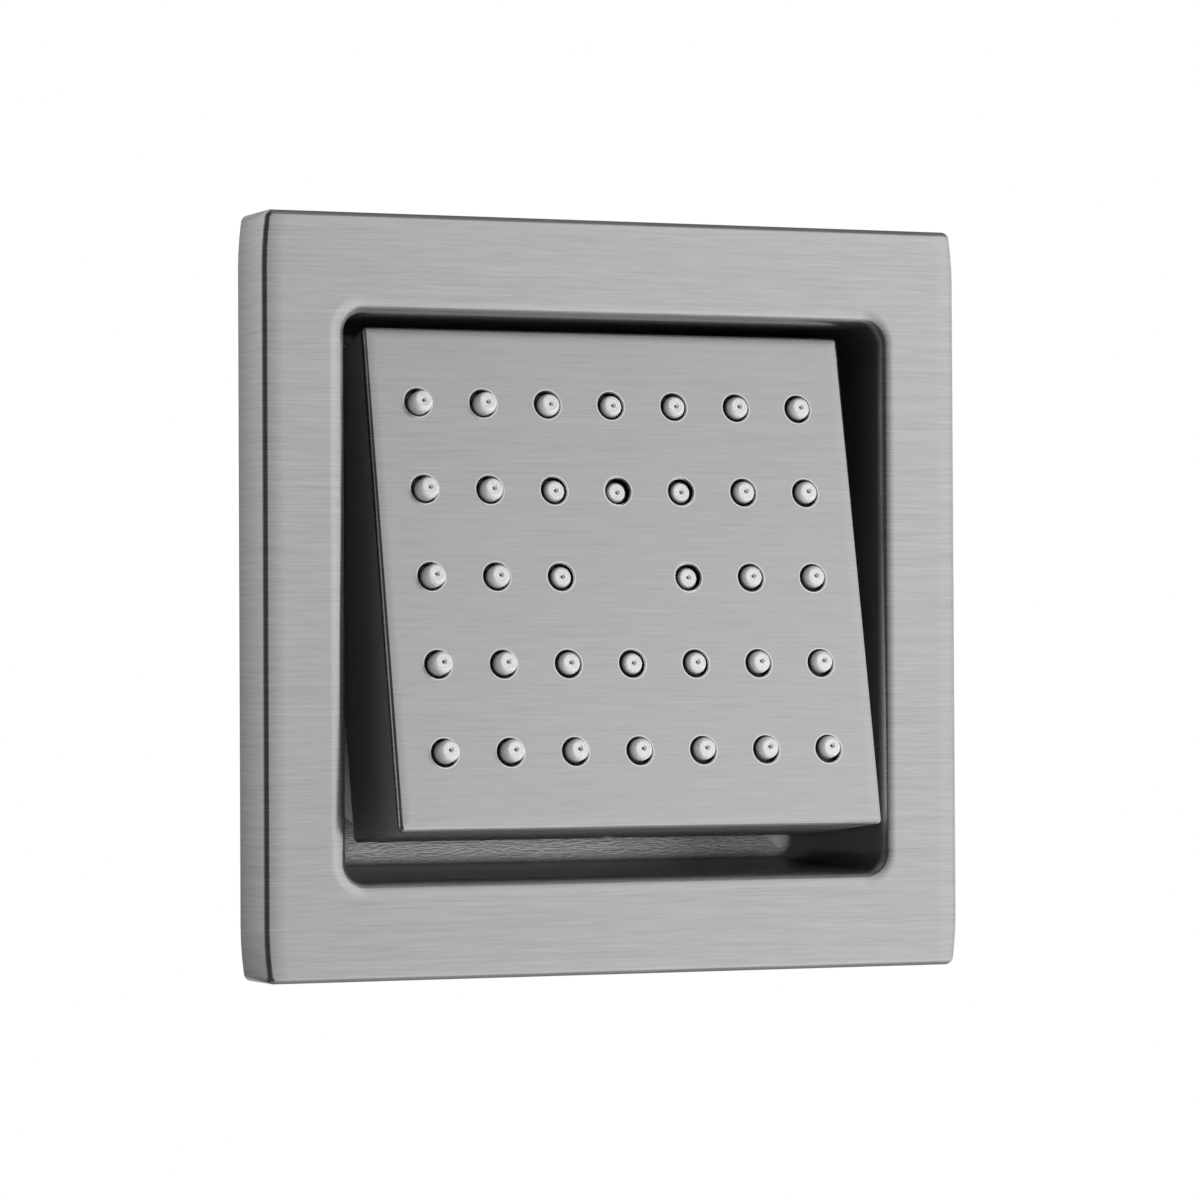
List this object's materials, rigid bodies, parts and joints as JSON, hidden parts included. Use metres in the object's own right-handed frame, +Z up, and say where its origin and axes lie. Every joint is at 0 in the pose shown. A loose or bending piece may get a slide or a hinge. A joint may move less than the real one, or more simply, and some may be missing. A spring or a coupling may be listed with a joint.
{
  "type": "shower body jet",
  "caption": "Square recessed wall spray with a deep framed box and a block-shaped head of soft nozzles that swivels on a ball joint; threaded water inlet at the back.",
  "frame": {"origin": "centre of the water inlet's mouth, at the back of the inlet body", "axes": "+Z is up, +X is to the right seen from the room, +Y goes into the wall along the inlet; the spray face looks towards -Y"},
  "size_m": [0.115, 0.0696, 0.115],
  "materials": {
    "brushed_nickel": "brushed",
    "stainless": "smooth",
    "brass": "turned",
    "plated_ball": "polished",
    "silicone": "matt",
    "foam": "matt",
    "black_rubber": "matt",
    "white_acetal": "smooth",
    "grey_moulding": "moulded"
  },
  "bodies": {
    "housing": {"face_frame": "brushed_nickel", "wall_gasket": "foam", "mounting_plate": "stainless", "plate_screws": "stainless", "inlet_body": "brass", "inlet_gasket": "black_rubber", "locknut_washer": "stainless", "inlet_locknut": "brass", "inlet_washer": "black_rubber", "filter_screen": "stainless", "flow_regulator": "white_acetal", "ball_nipple": "plated_ball", "nipple_seal": "black_rubber"},
    "swivel": {"friction_ring": "white_acetal"},
    "spray_head": {"head_shell": "brushed_nickel", "nozzle_mat": "silicone", "spray_chamber": "grey_moulding", "socket_seal": "black_rubber", "collar_nut": "brass", "set_screw": "stainless"}
  },
  "joints": [
    {"name": "head_tilt", "type": "hinge", "parent": "housing", "child": "swivel", "pos_m": [0, -0.04649, 0], "axis": [1, 0, 0], "range_deg": [-0.3, 22.7]},
    {"name": "head_turn", "type": "hinge", "parent": "swivel", "child": "spray_head", "pos_m": [0, -0.04649, 0], "axis": [0, 0.1942, 0.981], "range_deg": [-6.5, 6.5]}
  ]
}
